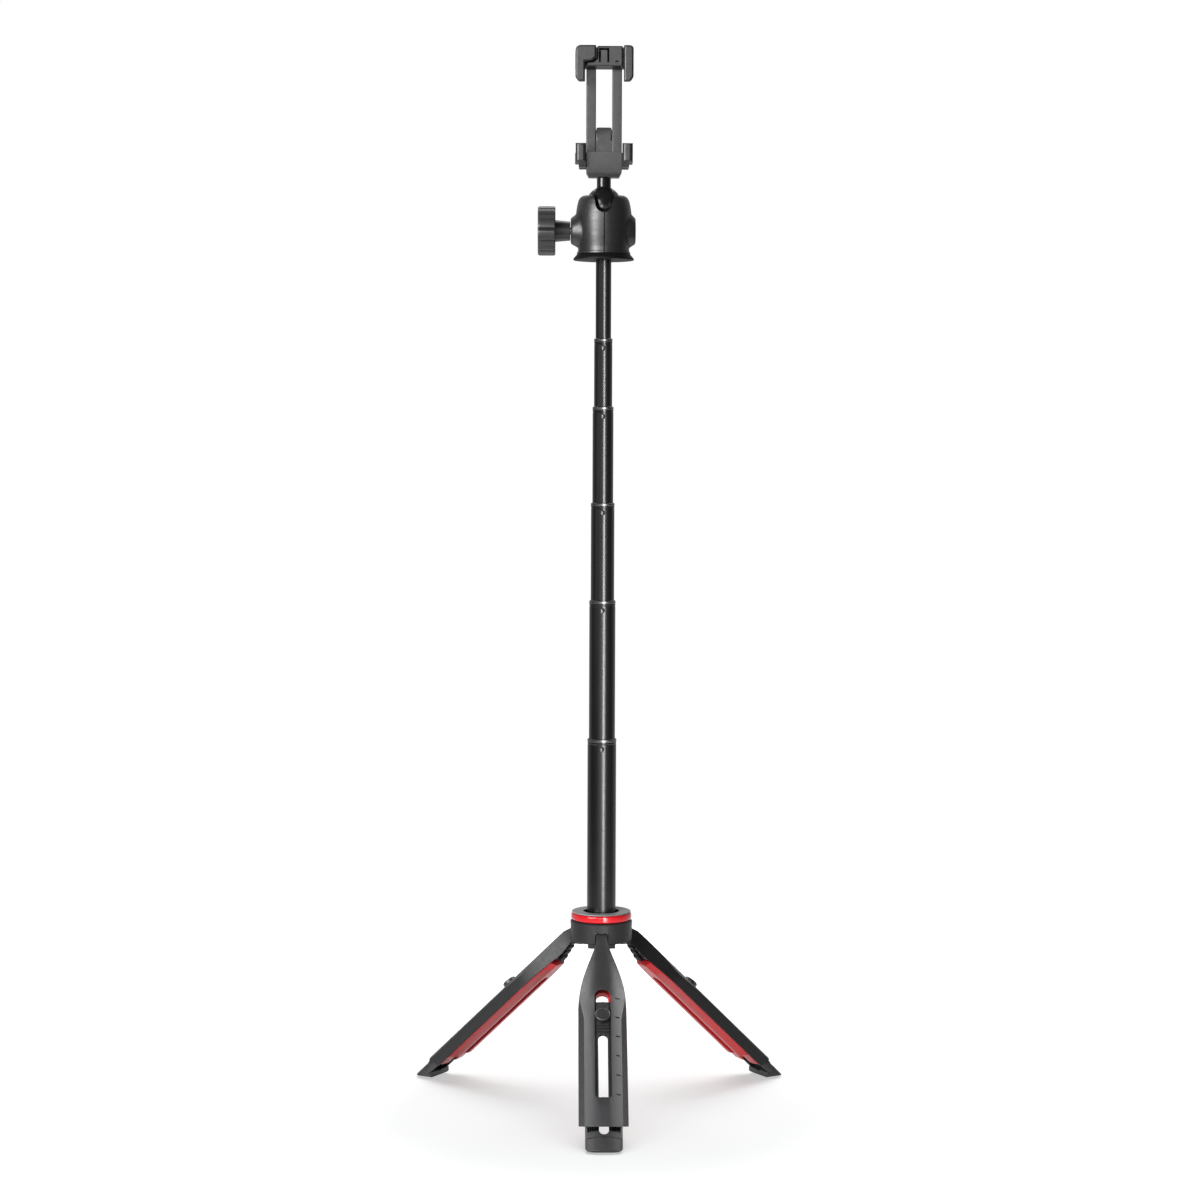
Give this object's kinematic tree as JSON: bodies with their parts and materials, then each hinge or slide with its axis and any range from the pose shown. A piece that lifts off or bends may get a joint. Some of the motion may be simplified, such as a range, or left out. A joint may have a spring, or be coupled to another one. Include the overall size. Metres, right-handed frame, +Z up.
{
  "type": "selfie stick",
  "caption": "Telescopic pole on a folding table tripod, with a lockable ball head and a sprung holder that grips a phone.",
  "frame": {"origin": "middle of the footprint's box, on the floor", "axes": "+Z up along the pole, -Y towards the front leg, +X to the right of the phone's screen side"},
  "size_m": [0.2892, 0.2528, 0.7908],
  "materials": {
    "anodised_black": "gloss anodised",
    "bezel_grey": "satin",
    "black_steel": "gloss black",
    "brass": "plain",
    "gloss_red": "gloss",
    "knob_black": "satin",
    "moulded_black": "satin, fine grain",
    "rubber_black": "matt",
    "satin_red": "satin",
    "seat_nylon": "satin",
    "steel": "bright"
  },
  "bodies": {
    "hub": {"hub_body": "moulded_black", "hub_trim_ring": "gloss_red", "hub_bezel": "bezel_grey", "hub_bolt": "steel", "hub_floor_cap": "moulded_black", "hinge_pin_front": "steel", "hinge_pin_right": "steel", "hinge_pin_left": "steel", "tube_1": "anodised_black", "pole_foot_plug": "moulded_black"},
    "head": {"head_base": "moulded_black", "housing_left": "moulded_black", "housing_right": "moulded_black", "ball_seat": "seat_nylon", "lock_nut": "steel"},
    "knob": {"lock_knob": "knob_black", "lock_screw": "steel"},
    "ball": {"ball_stem": "black_steel"},
    "holder": {"holder_block": "moulded_black", "holder_insert": "brass", "holder_frame": "moulded_black", "centre_stop": "moulded_black", "lower_pad_left": "rubber_black", "lower_pad_right": "rubber_black", "jaw_spring_left": "steel", "jaw_spring_right": "steel"},
    "jaw": {"upper_jaw": "moulded_black", "jaw_cover": "moulded_black", "upper_pad_left": "rubber_black", "upper_pad_right": "rubber_black"},
    "leg_front": {"leg_shell_front": "moulded_black", "leg_knuckle_front": "moulded_black", "leg_liner_front": "satin_red"},
    "extension_front": {"leg_extension_front": "moulded_black", "leg_foot_front": "moulded_black"},
    "button_front": {"lock_button_front": "moulded_black"},
    "leg_right": {"leg_shell_right": "moulded_black", "leg_knuckle_right": "moulded_black", "leg_liner_right": "satin_red"},
    "extension_right": {"leg_extension_right": "moulded_black", "leg_foot_right": "moulded_black"},
    "button_right": {"lock_button_right": "moulded_black"},
    "leg_left": {"leg_shell_left": "moulded_black", "leg_knuckle_left": "moulded_black", "leg_liner_left": "satin_red"},
    "extension_left": {"leg_extension_left": "moulded_black", "leg_foot_left": "moulded_black"},
    "button_left": {"lock_button_left": "moulded_black"},
    "section_2": {"tube_2": "anodised_black", "end_plug_2": "moulded_black"},
    "section_3": {"tube_3": "anodised_black", "end_plug_3": "moulded_black"},
    "section_4": {"tube_4": "anodised_black", "end_plug_4": "moulded_black"},
    "section_5": {"tube_5": "anodised_black", "end_plug_5": "moulded_black"},
    "section_6": {"tube_6": "anodised_black", "end_plug_6": "moulded_black"}
  },
  "joints": [
    {"name": "front_leg_fold", "type": "hinge", "parent": "hub", "child": "leg_front", "pos_m": [0, 0.01864, 0.13], "axis": [-1, 0, 0], "range_deg": [-47.4, 0]},
    {"name": "front_leg_extend", "type": "slide", "parent": "leg_front", "child": "extension_front", "axis": [0, -0.7361, -0.6769], "range_m": [0, 0.0536]},
    {"name": "front_button_press", "type": "slide", "parent": "extension_front", "child": "button_front", "axis": [0, 0.6769, -0.7361], "range_m": [0, 0.0012], "stiffness_N_per_m": 500, "springref_m": -0.0012},
    {"name": "right_leg_fold", "type": "hinge", "parent": "hub", "child": "leg_right", "pos_m": [0.01516, 0.04489, 0.13], "axis": [0.5, -0.866, 0], "range_deg": [-47.4, 0]},
    {"name": "right_leg_extend", "type": "slide", "parent": "leg_right", "child": "extension_right", "axis": [0.6375, 0.368, -0.6769], "range_m": [0, 0.0536]},
    {"name": "right_button_press", "type": "slide", "parent": "extension_right", "child": "button_right", "axis": [-0.5862, -0.3384, -0.7361], "range_m": [0, 0.0012], "stiffness_N_per_m": 500, "springref_m": -0.0012},
    {"name": "left_leg_fold", "type": "hinge", "parent": "hub", "child": "leg_left", "pos_m": [-0.01516, 0.04489, 0.13], "axis": [0.5, 0.866, 0], "range_deg": [-47.4, 0]},
    {"name": "left_leg_extend", "type": "slide", "parent": "leg_left", "child": "extension_left", "axis": [-0.6375, 0.368, -0.6769], "range_m": [0, 0.0536]},
    {"name": "left_button_press", "type": "slide", "parent": "extension_left", "child": "button_left", "axis": [0.5862, -0.3384, -0.7361], "range_m": [0, 0.0012], "stiffness_N_per_m": 500, "springref_m": -0.0012},
    {"name": "section_2_slide", "type": "slide", "parent": "hub", "child": "section_2", "axis": [0, 0, 1], "range_m": [-0.1012, 0.0018]},
    {"name": "section_3_slide", "type": "slide", "parent": "section_2", "child": "section_3", "axis": [0, 0, 1], "range_m": [-0.0702, 0.0248]},
    {"name": "section_4_slide", "type": "slide", "parent": "section_3", "child": "section_4", "axis": [0, 0, 1], "range_m": [-0.0689, 0.0181]},
    {"name": "section_5_slide", "type": "slide", "parent": "section_4", "child": "section_5", "axis": [0, 0, 1], "range_m": [-0.0478, 0.0312]},
    {"name": "section_6_slide", "type": "slide", "parent": "section_5", "child": "section_6", "axis": [0, 0, 1], "range_m": [-0.0551, 0.0074]},
    {"name": "head_pan", "type": "hinge", "parent": "section_6", "child": "head", "pos_m": [0, 0.03614, 0.6333], "axis": [0, 0, 1], "continuous": true},
    {"name": "knob_turn", "type": "hinge", "parent": "head", "child": "knob", "pos_m": [0, 0.03614, 0.6549], "axis": [-1, 0, 0], "range_deg": [0, 300]},
    {"name": "ball_tilt", "type": "hinge", "parent": "head", "child": "ball", "pos_m": [0, 0.03614, 0.6745], "axis": [1, 0, 0], "range_deg": [-30, 85]},
    {"name": "holder_turn", "type": "hinge", "parent": "ball", "child": "holder", "pos_m": [0, 0.03614, 0.6945], "axis": [0, 0, 1], "continuous": true},
    {"name": "jaw_slide", "type": "slide", "parent": "holder", "child": "jaw", "axis": [0, 0, 1], "range_m": [0, 0.03], "stiffness_N_per_m": 250, "springref_m": -0.02, "deforming": ["jaw_spring_left", "jaw_spring_right"]}
  ]
}
